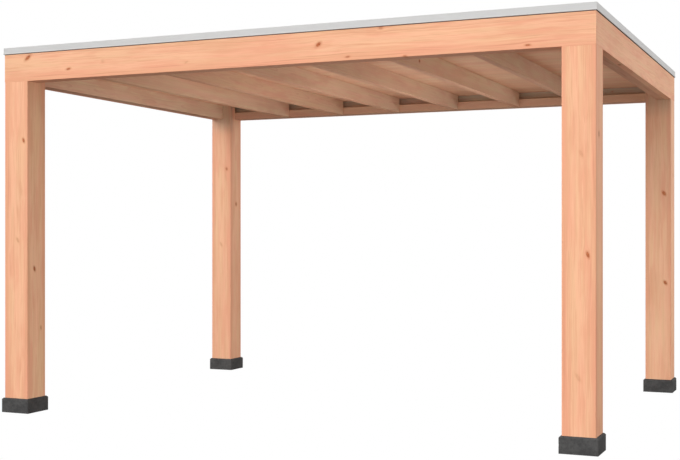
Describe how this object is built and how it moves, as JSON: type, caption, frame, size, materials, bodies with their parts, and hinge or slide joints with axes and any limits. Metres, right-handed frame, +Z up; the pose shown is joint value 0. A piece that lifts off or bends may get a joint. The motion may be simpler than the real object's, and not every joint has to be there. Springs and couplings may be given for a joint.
{
  "type": "patio cover",
  "caption": "Open flat-roofed timber patio cover: square notched posts on dark concrete plinths, deep fascia, rafters under a boarded deck, and a pale aluminium edge trim.",
  "frame": {"origin": "centre of the footprint at floor level, under the plinths", "axes": "+X to the right along the long front, +Y to the back, +Z up; the front is the long side at -Y"},
  "size_m": [4.028, 3.028, 2.467],
  "materials": {
    "post_timber": "planed, untreated",
    "fascia_timber": "planed, untreated",
    "roof_timber": "planed, untreated",
    "deck_boards": "planed, untreated",
    "plinth": "cast concrete, matte",
    "membrane": "matte",
    "edge_trim": "mill, satin"
  },
  "bodies": {
    "root": {"plinth_front_left": "plinth", "plinth_front_right": "plinth", "plinth_back_left": "plinth", "plinth_back_right": "plinth", "post_front_left": "post_timber", "post_front_right": "post_timber", "post_back_left": "post_timber", "post_back_right": "post_timber", "fascia_front": "fascia_timber", "fascia_back": "fascia_timber", "fascia_left": "fascia_timber", "fascia_right": "fascia_timber", "bearer_front": "roof_timber", "bearer_back": "roof_timber", "side_joist_left": "roof_timber", "side_joist_right": "roof_timber", "rafter_1": "roof_timber", "rafter_2": "roof_timber", "rafter_3": "roof_timber", "rafter_4": "roof_timber", "rafter_5": "roof_timber", "rafter_6": "roof_timber", "roof_deck": "deck_boards", "roof_membrane": "membrane", "trim_front": "edge_trim", "trim_back": "edge_trim", "trim_left": "edge_trim", "trim_right": "edge_trim"}
  },
  "joints": []
}
